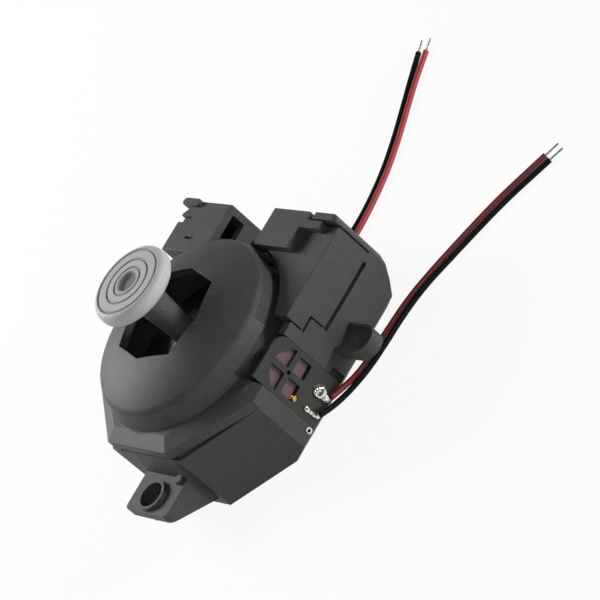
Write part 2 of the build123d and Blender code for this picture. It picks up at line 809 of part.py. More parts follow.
with BuildPart() as stick:
    with BuildSketch(Plane.XZ):
        with BuildLine():
            Polyline((0, pivot_z - ball_r), (0, cap_top_z), (cap_flat_r, cap_top_z))
            ThreePointArc((cap_flat_r, cap_top_z), (cap_r - 0.18, cap_top_z - 0.5), (cap_r, cap_edge_z))
            ThreePointArc((cap_r, cap_edge_z), (cap_r - 0.2, cap_under_z + 0.4),
                          (cap_flat_r, cap_under_z))
            Line((cap_flat_r, cap_under_z), (cap_root_r, cap_root_z))
            ThreePointArc((cap_root_r, cap_root_z), (shaft_high_r + 0.2, cap_root_z - 0.2),
                          (shaft_high_r, cap_root_z - 0.75))
            Polyline(
                (shaft_high_r, cap_root_z - 0.75),
                (shaft_low_r, shaft_taper_z),
                (shaft_low_r, shoulder_z),
                (neck_r, shoulder_z),
                (neck_r, ball_neck_z),
            )
            ThreePointArc((neck_r, ball_neck_z), (ball_r, pivot_z), (0, pivot_z - ball_r))
        make_face()
    revolve(axis=Axis.Z)
    # Ring grooves in the top of the cap and the dimple at its centre
    with Locations((0, 0, cap_top_z + ring_lift)):
        for ring_r in cap_ring_radii:
            Torus(ring_r, ring_section_r, mode=Mode.SUBTRACT)
    with Locations((0, 0, cap_top_z)):
        Cone(dimple_r - dimple_depth, dimple_r, dimple_depth,
             align=(Align.CENTER, Align.CENTER, Align.MAX), mode=Mode.SUBTRACT)

write(stick, "stick")

# Dust disc: a thin cap on a sphere about the pivot, with a hub that sits under the shaft's shoulder
dust_span = 2 * dust_r

with BuildPart() as dust_disc:
    with Locations((0, 0, pivot_z)):
        Sphere(dust_r)
        Sphere(dust_r - dust_thickness, mode=Mode.SUBTRACT)
    with BuildSketch(Plane.XZ):
        Polygon(
            (0, pivot_z),
            (dust_span * sin(radians(dust_half_angle)), pivot_z + dust_span * cos(radians(dust_half_angle))),
            (0, pivot_z + dust_span),
        )
    revolve(axis=Axis.Z, mode=Mode.INTERSECT)
    with BuildSketch(Plane.XY.offset(shoulder_z)):
        Circle(dust_hub_r)
    extrude(amount=-dust_hub_height)
    with BuildSketch(Plane.XY.offset(shoulder_z)):
        Circle(shaft_low_r + running_gap)
    extrude(amount=dust_thickness, mode=Mode.SUBTRACT)
    with BuildSketch(Plane.XY.offset(shoulder_z)):
        Circle(neck_r + running_gap)
    extrude(amount=-dust_hub_height, mode=Mode.SUBTRACT)

write(dust_disc, "dust_disc")

# Spring seat: flat on top, hollowed to a sphere that slides on the outer rocker
with BuildPart() as spring_seat:
    with BuildSketch(Plane.XY.offset(pivot_z)):
        Circle(seat_disc_r)
        Circle(neck_r + running_gap, mode=Mode.SUBTRACT)
    extrude(amount=seat_top_z - pivot_z)
    with Locations((0, 0, pivot_z)):
        Sphere(seat_r, mode=Mode.SUBTRACT)

write(spring_seat, "spring_seat")

# Centring spring between the seat and the dust disc
with BuildPart() as spring:
    with BuildLine():
        Helix(spring_pitch, spring_top_z - seat_top_z - 2 * spring_wire_r, spring_r,
              center=(0, 0, seat_top_z + spring_wire_r))
    with BuildSketch(Plane(origin=(spring_r, 0, seat_top_z + spring_wire_r), z_dir=(0, 1, 0))):
        Circle(spring_wire_r)
    sweep(is_frenet=True)

write(spring, "centring_spring")

# Top cover: plateau, dome with the eight-sided gate, skirt and two screw posts
gate_diagonal = gate_corner_reach * cos(radians(45))
gate_points = [
    (gate_side_reach, 0),
    (gate_diagonal, gate_diagonal),
    (0, gate_side_reach),
    (-gate_diagonal, gate_diagonal),
    (-gate_side_reach, 0),
    (-gate_diagonal, -gate_diagonal),
    (0, -gate_side_reach),
    (gate_diagonal, -gate_diagonal),
]
hollow_r = dome_wall_r - dome_wall
post_top_z = plateau_z - 1.0

with BuildPart() as top_cover:
    with BuildSketch(Plane.XY.offset(seam_z)):
        Polygon(*cover_points)
    extrude(amount=cover_rim_z - seam_z)
    with BuildSketch(Plane.XY.offset(cover_rim_z)):
        Polygon(*cover_points)
    extrude(amount=plateau_z - cover_rim_z,
            taper=degrees(atan2(cover_slope_run, plateau_z - cover_rim_z)))
    with BuildSketch(Plane.XY.offset(seam_z)):
        with Locations((0, -cover_notch_y)):
            Rectangle(2 * case_half, 2 * case_half, align=(Align.MIN, Align.MIN))
    extrude(amount=plateau_z - seam_z, mode=Mode.SUBTRACT)
    with BuildSketch(Plane.XY.offset(seam_z)):
        Polygon(*cover_points)
        offset(amount=-cover_rim_wall, kind=Kind.INTERSECTION, mode=Mode.REPLACE)
    extrude(amount=plateau_z - seam_z - dome_wall, mode=Mode.SUBTRACT)
    with BuildSketch(Plane.XZ):
        with BuildLine():
            Polyline(
                (0, dome_top_z),
                (0, seam_z),
                (dome_wall_r, seam_z),
                (dome_wall_r, skirt_flange_z),
                (skirt_r + 0.2, skirt_flange_z),
                (skirt_r + 0.2, plateau_z),
                (skirt_r, plateau_z),
                (dome_r, dome_edge_z),
            )
            ThreePointArc((dome_r, dome_edge_z), (dome_rise_r, dome_rise_z), (0, dome_top_z))
        make_face()
        fillet(vertices().sort_by_distance((dome_r, dome_edge_z))[:1], radius=dome_shoulder_round)
    revolve(axis=Axis.Z)
    with BuildSketch(Plane.XZ):
        with BuildLine():
            Polyline(
                (0, dome_top_z - dome_wall),
                (0, seam_z - 1),
                (hollow_r, seam_z - 1),
                (hollow_r, dome_edge_z - dome_wall),
            )
            ThreePointArc((hollow_r, dome_edge_z - dome_wall), (dome_rise_r - 1, dome_rise_z - dome_wall),
                          (0, dome_top_z - dome_wall))
        make_face()
    revolve(axis=Axis.Z, mode=Mode.SUBTRACT)
    with BuildSketch(Plane.XY.offset(seam_z)):
        Polygon(*gate_points)
    extrude(amount=dome_top_z, mode=Mode.SUBTRACT)
    # Openings under the skirt for the two code wheels
    with BuildSketch(Plane.XY.offset(seam_z)):
        with Locations((0, -cover_notch_y)):
            Rectangle(2 * case_half, block_y + cover_notch_y, align=(Align.MIN, Align.MIN))
        with Locations((tower_right_x, 0)):
            Rectangle(block_x - tower_right_x, 2 * case_half, align=(Align.MIN, Align.MIN))
        Circle(dome_wall_r, mode=Mode.SUBTRACT)
    extrude(amount=cover_notch_z - seam_z, mode=Mode.SUBTRACT)
    # The skirt stops beside the raised corner, where a gap runs round the dome's wall
    with BuildSketch(Plane.XY.offset(seam_z)):
        with Locations((0, skirt_end_y)):
            Rectangle(2 * case_half, 2 * case_half, align=(Align.MIN, Align.MIN))
        Circle(dome_wall_r, mode=Mode.SUBTRACT)
    extrude(amount=dome_edge_z - skirt_lip - seam_z, mode=Mode.SUBTRACT)
    # Screw posts under the plateau
    with BuildSketch(Plane.XY.offset(boss_top_z)):
        with Locations(*cover_screw_places):
            Circle(boss_r)
    extrude(amount=post_top_z - boss_top_z)
    with Locations(*[(x, y, boss_top_z) for x, y in cover_screw_places]):
        Cylinder(screw_r + thread_gap, screw_top_z + 1 - boss_top_z,
                 align=(Align.CENTER, Align.CENTER, Align.MIN), mode=Mode.SUBTRACT)

write(top_cover, "top_cover")

# Upper corner shell, hollow below, with a raised pad and a screw post
with BuildPart() as corner_shell:
    with BuildSketch(Plane.XY.offset(block_split_z)):
        Polygon(*corner_points)
        Circle(skirt_r + skirt_clearance, mode=Mode.SUBTRACT)
    extrude(amount=block_top_z - block_split_z)
    chamfer(corner_shell.edges().group_by(Axis.Z)[-1], length=edge_break)
    with BuildSketch(Plane.XY.offset(block_split_z)):
        Polygon(*corner_points)
        offset(amount=-cover_shell, kind=Kind.INTERSECTION, mode=Mode.REPLACE)
        Circle(skirt_r + skirt_clearance + cover_shell, mode=Mode.SUBTRACT)
    extrude(amount=block_top_z - cover_shell - block_split_z, mode=Mode.SUBTRACT)
    with BuildSketch(Plane.XY.offset(block_split_z)):
        with Locations((0, block_split_y + piece_gap)):
            Rectangle(2 * case_half, block_split_y, align=(Align.MIN, Align.MAX))
    extrude(amount=seam_z - block_split_z, mode=Mode.SUBTRACT)
    with BuildSketch(Plane.XY.offset(block_top_z)):
        Polygon(
            (block_x, pad_y),
            (pad_mid_x, pad_y),
            (pad_mid_x, pad_step_y),
            (pad_far_x, pad_step_y),
            (pad_far_x, rear_reach - wall - edge_break),
            (tab_left_x - piece_gap, rear_reach - wall - edge_break),
            (tab_left_x - piece_gap, rear_reach - edge_break),
            (block_x, rear_reach - edge_break),
        )
    extrude(amount=pad_top_z - block_top_z)
    with BuildSketch(Plane.XY.offset(boss_top_z)):
        with Locations(corner_screw_place):
            Circle(boss_r)
    extrude(amount=block_top_z - cover_shell - boss_top_z)
    with Locations((*corner_screw_place, boss_top_z)):
        Cylinder(screw_r + thread_gap, screw_top_z + 1 - boss_top_z,
                 align=(Align.CENTER, Align.CENTER, Align.MIN), mode=Mode.SUBTRACT)

write(corner_shell, "upper_corner_shell")

# Side tower shell, with a window in its inner wall, a slot, a lug and a screw post
with BuildPart() as tower_shell:
    with BuildSketch(Plane.XY.offset(tower_split_z)):
        Polygon(*tower_points)
        Circle(skirt_r + skirt_clearance, mode=Mode.SUBTRACT)
    extrude(amount=tower_top_z - tower_split_z)
    chamfer(tower_shell.edges().group_by(Axis.Z)[-1], length=edge_break)
    with BuildSketch(Plane.XY.offset(tower_split_z)):
        Polygon(*tower_points)
        offset(amount=-cover_shell, kind=Kind.INTERSECTION, mode=Mode.REPLACE)
        Circle(skirt_r + skirt_clearance + cover_shell, mode=Mode.SUBTRACT)
    extrude(amount=tower_top_z - cover_shell - tower_split_z, mode=Mode.SUBTRACT)
    with BuildSketch(Plane.XY.offset(tower_split_z)):
        with Locations((tower_right_x, rear_reach - cover_shell)):
            Rectangle(cover_shell, tower_window_length, align=(Align.MAX, Align.MAX))
    extrude(amount=tower_window_z - tower_split_z, mode=Mode.SUBTRACT)
    with BuildSketch(Plane.XY.offset(tower_top_z)):
        with Locations(tower_slot_place):
            SlotOverall(tower_slot_length, tower_slot_width)
    extrude(amount=-tower_slot_width, mode=Mode.SUBTRACT)
    with BuildSketch(Plane.XY.offset(tower_top_z)):
        with Locations((tower_left_x, rear_reach - tower_notch_run)):
            Rectangle(tower_notch_length, tower_notch_width, align=(Align.MIN, Align.CENTER))
    extrude(amount=-tower_notch_depth, mode=Mode.SUBTRACT)
    with BuildSketch(Plane.XY.offset(tower_split_z)):
        with Locations((tower_left_x - tower_lug_reach + tower_lug_length / 2, rear_reach - tower_lug_run)):
            SlotOverall(tower_lug_length, tower_lug_width)
    extrude(amount=tower_lug_z - tower_split_z)
    with BuildSketch(Plane.XY.offset(boss_top_z)):
        with Locations(tower_screw_place):
            Circle(boss_r)
    extrude(amount=tower_top_z - cover_shell - boss_top_z)
    with Locations((*tower_screw_place, boss_top_z)):
        Cylinder(screw_r + thread_gap, screw_top_z + 1 - boss_top_z,
                 align=(Align.CENTER, Align.CENTER, Align.MIN), mode=Mode.SUBTRACT)

write(tower_shell, "side_tower_shell")

# Case screws, with cross recesses in their heads
with BuildPart() as case_screws:
    with Locations(*[(x, y, screw_head_z) for x, y in all_screw_places]):
        Cylinder(screw_head_r, screw_head_z - screw_head_inset,
                 align=(Align.CENTER, Align.CENTER, Align.MAX))
        Cylinder(screw_r, screw_top_z - screw_head_z, align=(Align.CENTER, Align.CENTER, Align.MIN))
    with BuildSketch(Plane.XY.offset(screw_head_inset)):
        with Locations(*all_screw_places):
            Rectangle(1.3 * screw_head_r, 0.3 * screw_head_r)
            Rectangle(0.3 * screw_head_r, 1.3 * screw_head_r)
    extrude(amount=(screw_head_z - screw_head_inset) / 2, mode=Mode.SUBTRACT)

write(case_screws, "case_screws")

# Side board for the code wheel on the X side, with four windows round its hub hole
hub_place = (-hub_shift, wheel_z)

with BuildPart() as board_x:
    with BuildSketch(Plane.YZ.offset(board_plane_x)):
        with Locations((board_low, board_bottom_z)):
            Rectangle(board_high - board_low, board_x_top_z - board_bottom_z, align=(Align.MIN, Align.MIN))
        with Locations(hub_place):
            Circle(wheel_pin_r + running_gap, mode=Mode.SUBTRACT)
        with Locations(contact_place):
            Circle(contact_width / 2 + thread_gap, mode=Mode.SUBTRACT)
    extrude(amount=board_thickness)
    fillet(board_x.edges().filter_by(Axis.X).group_by(Axis.Z)[-1].sort_by(Axis.Y)[-1:], radius=board_corner_r)
    with BuildSketch(Plane.YZ.offset(board_plane_x)):
        with Locations(hub_place):
            Circle(window_r)
            Rectangle(2 * window_r, window_r, align=(Align.CENTER, Align.MAX), mode=Mode.SUBTRACT)
            Rectangle(2 * window_side, window_side, align=(Align.CENTER, Align.MAX))
            Rectangle(window_bar, 2 * window_r, mode=Mode.SUBTRACT)
            Rectangle(2 * window_r, window_bar, mode=Mode.SUBTRACT)
    extrude(amount=board_thickness, mode=Mode.SUBTRACT)

write(board_x, "side_board_x")

# Dark filter plate that backs the four windows, bored for the pin of the code wheel
with BuildPart() as window_filter:
    with BuildSketch(Plane.YZ.offset(board_plane_x)):
        with Locations((-hub_shift, filter_low_z)):
            Rectangle(2 * window_r, wheel_z + window_r - filter_low_z, align=(Align.CENTER, Align.MIN))
        with Locations(hub_place):
            Circle(wheel_pin_r + running_gap, mode=Mode.SUBTRACT)
    extrude(amount=-filter_thickness)

write(window_filter, "window_filter")

# Board for the other code wheel: lower, with the two lower windows only
with BuildPart() as board_y:
    with BuildSketch(Plane.XZ.offset(-board_plane_x)):
        with Locations((board_low, board_bottom_z)):
            Rectangle(board_high - board_low, board_y_top_z - board_bottom_z, align=(Align.MIN, Align.MIN))
        with Locations(hub_place):
            Rectangle(2 * window_side, window_side, align=(Align.CENTER, Align.MAX), mode=Mode.SUBTRACT)
            Rectangle(window_bar, 2 * window_side)
            Rectangle(2 * window_side, window_bar)
            Circle(wheel_pin_r + running_gap, mode=Mode.SUBTRACT)
        with Locations((0, board_y_top_z)):
            Rectangle(2 * case_half, board_x_top_z, align=(Align.CENTER, Align.MIN), mode=Mode.SUBTRACT)
    extrude(amount=-board_thickness)

write(board_y, "side_board_y")

# Inner boards, upright on the floor, that carry the detectors
with BuildPart() as sensor_board_x:
    with BuildSketch(Plane.YZ.offset(inner_board_x)):
        with Locations((inner_board_low, floor_thickness)):
            Rectangle(inner_board_high - inner_board_low, inner_board_top_z - floor_thickness,
                      align=(Align.MIN, Align.MIN))
    extrude(amount=board_thickness)

with BuildPart() as sensor_board_y:
    mirror(sensor_board_x.part, about=swap_plane)

write(sensor_board_x, "inner_board_x")
write(sensor_board_y, "inner_board_y")

# Emitters on the side boards and detectors on the inner boards, level with the slots of the wheels
with BuildPart() as emitter_x:
    with BuildSketch(Plane.YZ.offset(board_plane_x)):
        with Locations((-hub_shift, sensor_z)):
            RectangleRounded(emitter_width, emitter_height, sensor_corner_r)
    extrude(amount=-emitter_depth)
    with BuildSketch(Plane.YZ.offset(board_plane_x - emitter_depth)):
        with Locations((-hub_shift, sensor_z)):
            Circle(lens_r)
    extrude(amount=-lens_depth)

with BuildPart() as emitter_y:
    mirror(emitter_x.part, about=swap_plane)

with BuildPart() as detector_x:
    with BuildSketch(Plane.YZ.offset(inner_board_x + board_thickness)):
        with Locations((-hub_shift, sensor_z)):
            RectangleRounded(detector_width, detector_height, sensor_corner_r)
    extrude(amount=detector_depth)
    with BuildSketch(Plane.YZ.offset(inner_board_x + board_thickness + detector_depth)):
        with Locations((-hub_shift - detector_pitch / 2, sensor_z),
                       (-hub_shift + detector_pitch / 2, sensor_z)):
            Circle(lens_r)
    extrude(amount=lens_depth)

with BuildPart() as detector_y:
    mirror(detector_x.part, about=swap_plane)

write(emitter_x, "emitter_x")
write(emitter_y, "emitter_y")
write(detector_x, "detector_x")
write(detector_y, "detector_y")

# Brass contact at the foot of a window of the X side board
with BuildPart() as contact:
    with BuildSketch(Plane.YZ.offset(board_plane_x)):
        with Locations(contact_place):
            Rectangle(contact_width, contact_height)
    extrude(amount=-contact_depth)
    with BuildSketch(Plane.YZ.offset(board_plane_x)):
        with Locations(contact_place):
            Circle(contact_width / 2)
    extrude(amount=contact_proud)

write(contact, "brass_contact")

# Solder joints: a dome on the board with a short tinned stub that the wire's insulation meets
red_x_route = [
    (21.7, 0.4, 2.35), (21.95, 2.9, 1.55), (22.4, 5.6, 0.85), (22.75, 9.7, 0.5), (23.0, 15.0, 0.5),
    (23.75, 21.5, 0.5), (26.0, 28.2, 0.5), (29.3, 36.4, 0.5), (31.4, 41.1, 0.5), (33.9, 45.6, 0.5),
    (36.4, 49.9, 0.5),
]
black_x_route = [
    (21.75, -3.0, 2.5), (21.85, -1.1, 1.55), (22.15, 1.1, 0.85), (22.8, 3.7, 0.5), (23.85, 7.0, 0.5),
    (24.45, 11.6, 0.5), (24.7, 17.4, 0.5), (25.7, 23.2, 0.5), (28.0, 28.9, 0.5), (31.0, 36.1, 0.5),
    (33.2, 40.9, 0.5), (35.6, 45.1, 0.5), (38.0, 49.1, 0.5),
]
red_y_route = [
    (0.9, 22.0, 3.2), (1.2, 25.0, 1.7), (1.5, 29.0, 0.5), (1.6, 33.5, 0.5), (0.95, 39.5, 0.5),
    (-0.2, 45.2, 0.5), (-2.2, 51.4, 0.5), (-4.7, 57.8, 0.5), (-6.9, 63.6, 0.5), (-8.45, 69.0, 0.5),
]
black_y_route = [
    (-2.9, 22.0, 3.2), (-2.0, 25.0, 1.7), (-0.2, 29.2, 0.5), (0.45, 33.4, 0.5), (-0.1, 39.3, 0.5),
    (-1.25, 44.9, 0.5), (-3.25, 51.0, 0.5), (-5.75, 57.3, 0.5), (-8.15, 63.2, 0.5), (-10.2, 68.6, 0.5),
]


def run_direction(route, index):
    """Unit direction of a run of the route."""
    return (Vector(*route[index + 1]) - Vector(*route[index])).normalized()


def corner_radii(name, route):
    """Radius of the arc at each inner point, as large as its two runs allow."""
    radii = []
    for i in range(1, len(route) - 1):
        before = Vector(*route[i]) - Vector(*route[i - 1])
        after = Vector(*route[i + 1]) - Vector(*route[i])
        half_turn = radians(before.get_angle(after)) / 2
        radii.append(0.45 * min(before.length, after.length) / tan(half_turn))
    print(name, "radii", [round(r, 1) for r in radii])
    return radii


with BuildPart() as solder_x:
    for route in (red_x_route, black_x_route):
        foot = Vector(*route[0]) - stub_length * run_direction(route, 0)
        with Locations((case_half, foot.Y, foot.Z)):
            Sphere(solder_r)
        with BuildSketch(Plane(origin=route[0], z_dir=run_direction(route, 0))):
            Circle(wire_r)
        extrude(amount=-stub_length)
    with BuildSketch(Plane.YZ.offset(case_half)):
        Rectangle(4 * case_half, 4 * case_half)
    extrude(amount=2 * solder_r, mode=Mode.INTERSECT)

with BuildPart() as solder_y:
    for route in (red_y_route, black_y_route):
        foot = Vector(*route[0]) - stub_length * run_direction(route, 0)
        with Locations((foot.X, case_half, foot.Z)):
            Sphere(solder_r)
        with BuildSketch(Plane(origin=route[0], z_dir=run_direction(route, 0))):
            Circle(wire_r)
        extrude(amount=-stub_length)
    with BuildSketch(Plane.XZ.offset(-case_half)):
        Rectangle(4 * case_half, 4 * case_half)
    extrude(amount=-2 * solder_r, mode=Mode.INTERSECT)

write(solder_x, "solder_joints_x")
write(solder_y, "solder_joints_y")

# Wires: straight runs joined by arcs, each with a bare tinned end
for name, route in (
    ("wire_red_x", red_x_route),
    ("wire_black_x", black_x_route),
    ("wire_red_y", red_y_route),
    ("wire_black_y", black_y_route),
):
    with BuildPart() as wire:
        with BuildLine() as wire_path:
            FilletPolyline(*route, radius=corner_radii(name, route))
        with BuildSketch(Plane(origin=route[0], z_dir=run_direction(route, 0))):
            Circle(wire_r)
        sweep()
    print(name, "length", round(sum(edge.length for edge in wire_path.edges()), 1))
    write(wire, name)
    with BuildPart() as strand:
        with BuildSketch(Plane(origin=route[-1], z_dir=run_direction(route, -2))):
            Circle(strand_r)
        extrude(amount=strand_length)
    write(strand, name.replace("wire", "bare_end"))
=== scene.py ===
import math
import random

import bmesh
import bpy
from mathutils import Matrix, Vector, noise


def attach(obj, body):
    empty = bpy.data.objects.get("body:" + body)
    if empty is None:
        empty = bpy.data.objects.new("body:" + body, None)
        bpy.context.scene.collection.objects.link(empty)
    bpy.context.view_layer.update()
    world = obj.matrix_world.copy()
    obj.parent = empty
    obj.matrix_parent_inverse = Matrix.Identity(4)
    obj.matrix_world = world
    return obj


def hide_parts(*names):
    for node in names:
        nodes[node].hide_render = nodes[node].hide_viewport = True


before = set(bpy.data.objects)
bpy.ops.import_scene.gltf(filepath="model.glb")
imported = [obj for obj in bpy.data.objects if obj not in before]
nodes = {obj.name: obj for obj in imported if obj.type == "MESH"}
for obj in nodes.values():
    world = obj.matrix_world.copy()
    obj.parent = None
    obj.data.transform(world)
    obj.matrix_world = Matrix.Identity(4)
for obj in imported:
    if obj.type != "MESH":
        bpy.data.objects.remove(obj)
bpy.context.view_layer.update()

mm = 0.001
upward = Vector((0, 0, 1))


# sRGB hex to the linear values that Blender's sockets take
def linear(hexColour):
    parts = [int(hexColour[i:i + 2], 16) / 255 for i in (1, 3, 5)]
    return tuple(c / 12.92 if c <= 0.04045 else ((c + 0.055) / 1.055) ** 2.4 for c in parts) + (1.0,)


# Adds one node: its settings by name, its sockets from values or from other sockets
def addNode(tree, kind, sockets=None, **settings):
    node = tree.nodes.new(kind)
    for name, value in settings.items():
        setattr(node, name, value)
    for name, value in (sockets or {}).items():
        if isinstance(value, bpy.types.NodeSocket):
            tree.links.new(value, node.inputs[name])
        else:
            node.inputs[name].default_value = value
    return node


# An empty material, with the sockets that are uniform set on its shader
def startMaterial(name, surface):
    material = bpy.data.materials.new(name)
    material.use_nodes = True
    tree = material.node_tree
    tree.nodes.clear()
    shader = addNode(tree, "ShaderNodeBsdfPrincipled", surface)
    addNode(tree, "ShaderNodeOutputMaterial", {"Surface": shader.outputs[0]})
    return material, tree, shader


def addObject(name, data):
    thing = bpy.data.objects.new(name, data)
    bpy.context.scene.collection.objects.link(thing)
    return thing


# Turns a finished bmesh into a smooth shaded object
def smoothObject(name, mesh):
    data = bpy.data.meshes.new(name)
    mesh.to_mesh(data)
    mesh.free()
    data.polygons.foreach_set("use_smooth", [True] * len(data.polygons))
    return addObject(name, data)


# The camera, at the photograph's angle

cameraView = {
    "position": (0.45877, -0.14646, 0.3118),
    "right": (0.6007, 0.4891, -0.6324),
    "up": (-0.0832, 0.8250, 0.5590),
    "back": (0.7951, -0.2832, 0.5362),
    "lensMm": 210,
    "sensorMm": 36,
    "clipStart": 0.01,
}
cameraData = bpy.data.cameras.new("camera")
cameraData.lens = cameraView["lensMm"]
cameraData.sensor_width = cameraView["sensorMm"]
cameraData.clip_start = cameraView["clipStart"]
camera = addObject("camera", cameraData)
cameraTurn = Matrix((cameraView["right"], cameraView["up"], cameraView["back"])).transposed().to_4x4()
camera.matrix_world = Matrix.Translation(cameraView["position"]) @ cameraTurn
bpy.context.scene.camera = camera

# The four wires, in two red and black pairs

wires = {
    "diameter": 1.0 * mm,
    "roundness": 5,
    "bareLength": 2.9 * mm,
    "strands": 7,  # one in the middle, the rest twisted round it
    "strandRadius": 0.062 * mm,
    "strandRoundness": 3,
    "strandSteps": 14,
    "strandTwist": 1.6 * mm,  # lay of the tinned strands, one turn in this length
    "strandPitch": 1.55,  # from the middle strand to the others, in strand radii
    "splay": 0.25,  # how much further apart they are at the tip
    "cutBack": 0.06,  # a strand is shorter by up to this share
    "tuckedIn": 0.1 * mm,  # where they start, inside the insulation
}
routes = {  # the same points as the CAD tubes, in millimetres
    "wire_red_x": [
        (21.7, 0.4, 2.35), (21.95, 2.9, 1.55), (22.4, 5.6, 0.85), (22.75, 9.7, 0.5), (23.0, 15.0, 0.5),
        (23.75, 21.5, 0.5), (26.0, 28.2, 0.5), (29.3, 36.4, 0.5), (31.4, 41.1, 0.5), (33.9, 45.6, 0.5),
        (36.4, 49.9, 0.5),
    ],
    "wire_black_x": [
        (21.75, -3.0, 2.5), (21.85, -1.1, 1.55), (22.15, 1.1, 0.85), (22.8, 3.7, 0.5),
        (23.85, 7.0, 0.5), (24.45, 11.6, 0.5), (24.7, 17.4, 0.5), (25.7, 23.2, 0.5), (28.0, 28.9, 0.5),
        (31.0, 36.1, 0.5), (33.2, 40.9, 0.5), (35.6, 45.1, 0.5), (38.0, 49.1, 0.5),
    ],
    "wire_red_y": [
        (0.9, 22.0, 3.2), (1.2, 25.0, 1.7), (1.5, 29.0, 0.5), (1.6, 33.5, 0.5), (0.95, 39.5, 0.5),
        (-0.2, 45.2, 0.5), (-2.2, 51.4, 0.5), (-4.7, 57.8, 0.5), (-6.9, 63.6, 0.5), (-8.45, 69.0, 0.5),
    ],
    "wire_black_y": [
        (-2.9, 22.0, 3.2), (-2.0, 25.0, 1.7), (-0.2, 29.2, 0.5), (0.45, 33.4, 0.5), (-0.1, 39.3, 0.5),
        (-1.25, 44.9, 0.5), (-3.25, 51.0, 0.5), (-5.75, 57.3, 0.5), (-8.15, 63.2, 0.5),
        (-10.2, 68.6, 0.5),
    ],
}


# A curve whose splines become round tubes, as thick as the radius of each point
def startTube(name, roundness):
    curve = bpy.data.curves.new(name, "CURVE")
    curve.dimensions = "3D"
    curve.bevel_depth = 1.0
    curve.bevel_resolution = roundness
    curve.use_fill_caps = True
    return curve


def layWire(name, points):
    curve = startTube(name, wires["roundness"])
    curve.resolution_u = 16
    spline = curve.splines.new("NURBS")
    spline.points.add(len(points) - 1)
    for point, place in zip(spline.points, points):
        point.co = (place[0] * mm, place[1] * mm, place[2] * mm, 1)
        point.radius = wires["diameter"] / 2
    spline.order_u = 3
    spline.use_endpoint_u = True
    return addObject(name, curve)


# The tinned strands at the end of a wire, each a thin tube cut to its own length
def layStrands(name, points, seed):
    rng = random.Random(seed)
    end = Vector(points[-1]) * mm
    along = (end - Vector(points[-2]) * mm).normalized()
    side = along.cross(upward).normalized()
    above = side.cross(along)
    curve = startTube(name, wires["strandRoundness"])
    middle = wires["strands"] - 1
    lastStep = wires["strandSteps"] - 1
    for k in range(wires["strands"]):
        reach = wires["bareLength"] * (1 - wires["cutBack"] * rng.random())
        spline = curve.splines.new("POLY")
        spline.points.add(lastStep)
        for i, point in enumerate(spline.points):
            t = i / lastStep
            turn = 2 * math.pi * (k / middle + t * reach / wires["strandTwist"])
            spread = wires["strandPitch"] * wires["strandRadius"] * (1 + wires["splay"] * t)
            place = end + along * (t * reach - wires["tuckedIn"])
            place += (side * math.cos(turn) + above * math.sin(turn)) * (0.0 if k == middle else spread)
            point.co = (*place, 1)
            point.radius = wires["strandRadius"]
    return addObject(name, curve)


cordPieces = {}
strandPieces = {}
for seed, (name, points) in enumerate(routes.items()):
    wire = layWire(name.replace("wire", "insulation"), points)
    strands = layStrands(name.replace("wire", "strands"), points, seed)
    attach(wire, "housing")
    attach(strands, "housing")
    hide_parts(name)
    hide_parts(name.replace("wire", "bare_end"))
    cordPieces[name] = wire
    strandPieces[name] = strands

print("camera and wires made")

# ABS, moulded in a spark-eroded tool: a dead black-grey face with a fine grain and paler, rounded edges.
# The real grain is about 0.08 mm, drawn at 0.2 mm so that it shows. Specks, flow marks and edges turn pale, the
# edges from wear and painted highlight: each has the value where that starts, the value where it is full, and
# its greatest share.
erodedAbs = {
    "colour": "#3b3b3b", "pale": "#5c5c5c", "roughness": 0.58, "ior": 1.53, "shine": 0.3,
    "grainMm": 0.2, "cloudMm": 3.0, "edgeMm": 0.14,
    "specks": (0.55, 0.75, 0.8), "flow": (0.3, 0.7, 0.14), "edgeWearAndHighlight": (0.99, 0.80, 0.7),
    "bump": 0.6, "bumpMm": 0.08,
}


def mouldedAbs(name, look):
    material, tree, shader = startMaterial(name, {"Roughness": look["roughness"], "IOR": look["ior"],
                                                  "Specular IOR Level": look["shine"]})
    place = addNode(tree, "ShaderNodeTexCoord").outputs["Object"]
    grain = addNode(tree, "ShaderNodeTexNoise", {"Vector": place, "Scale": 1 / (look["grainMm"] * mm),
                                                 "Detail": 2.0, "Roughness": 0.6})
    cloud = addNode(tree, "ShaderNodeTexNoise", {"Vector": place, "Scale": 1 / (look["cloudMm"] * mm),
                                                 "Detail": 4.0, "Roughness": 0.6})
    soft = addNode(tree, "ShaderNodeBevel", {"Radius": look["edgeMm"] * mm}, samples=4)
    flat = addNode(tree, "ShaderNodeNewGeometry")
    turned = addNode(tree, "ShaderNodeVectorMath", {0: soft.outputs[0], 1: flat.outputs["Normal"]},
                     operation="DOT_PRODUCT")
    shares = []
    # the edges' pale share is partly wear and partly painted highlight, taken from how far the bevelled normal
    # turns from the true one
    for source, key in ((grain.outputs[0], "specks"), (cloud.outputs[0], "flow"),
                        (turned.outputs["Value"], "edgeWearAndHighlight")):
        start, full, share = look[key]
        shares.append(addNode(tree, "ShaderNodeMapRange", {"Value": source, "From Min": start, "From Max": full,
                                                           "To Min": 0.0, "To Max": share}).outputs[0])
    both = addNode(tree, "ShaderNodeMath", {0: shares[0], 1: shares[1]}, operation="ADD")
    paleMarksAndHighlight = addNode(tree, "ShaderNodeMath", {0: both.outputs[0], 1: shares[2]}, operation="ADD",
                   use_clamp=True)
    colour = addNode(tree, "ShaderNodeMix", {"Factor": paleMarksAndHighlight.outputs[0], "A": linear(look["colour"]),
                                             "B": linear(look["pale"])}, data_type="RGBA")
    bump = addNode(tree, "ShaderNodeBump", {"Height": grain.outputs[0], "Strength": look["bump"],
                                            "Distance": look["bumpMm"] * mm, "Normal": soft.outputs[0]})
    tree.links.new(colour.outputs["Result"], shader.inputs["Base Color"])
    tree.links.new(bump.outputs[0], shader.inputs["Normal"])
    return material
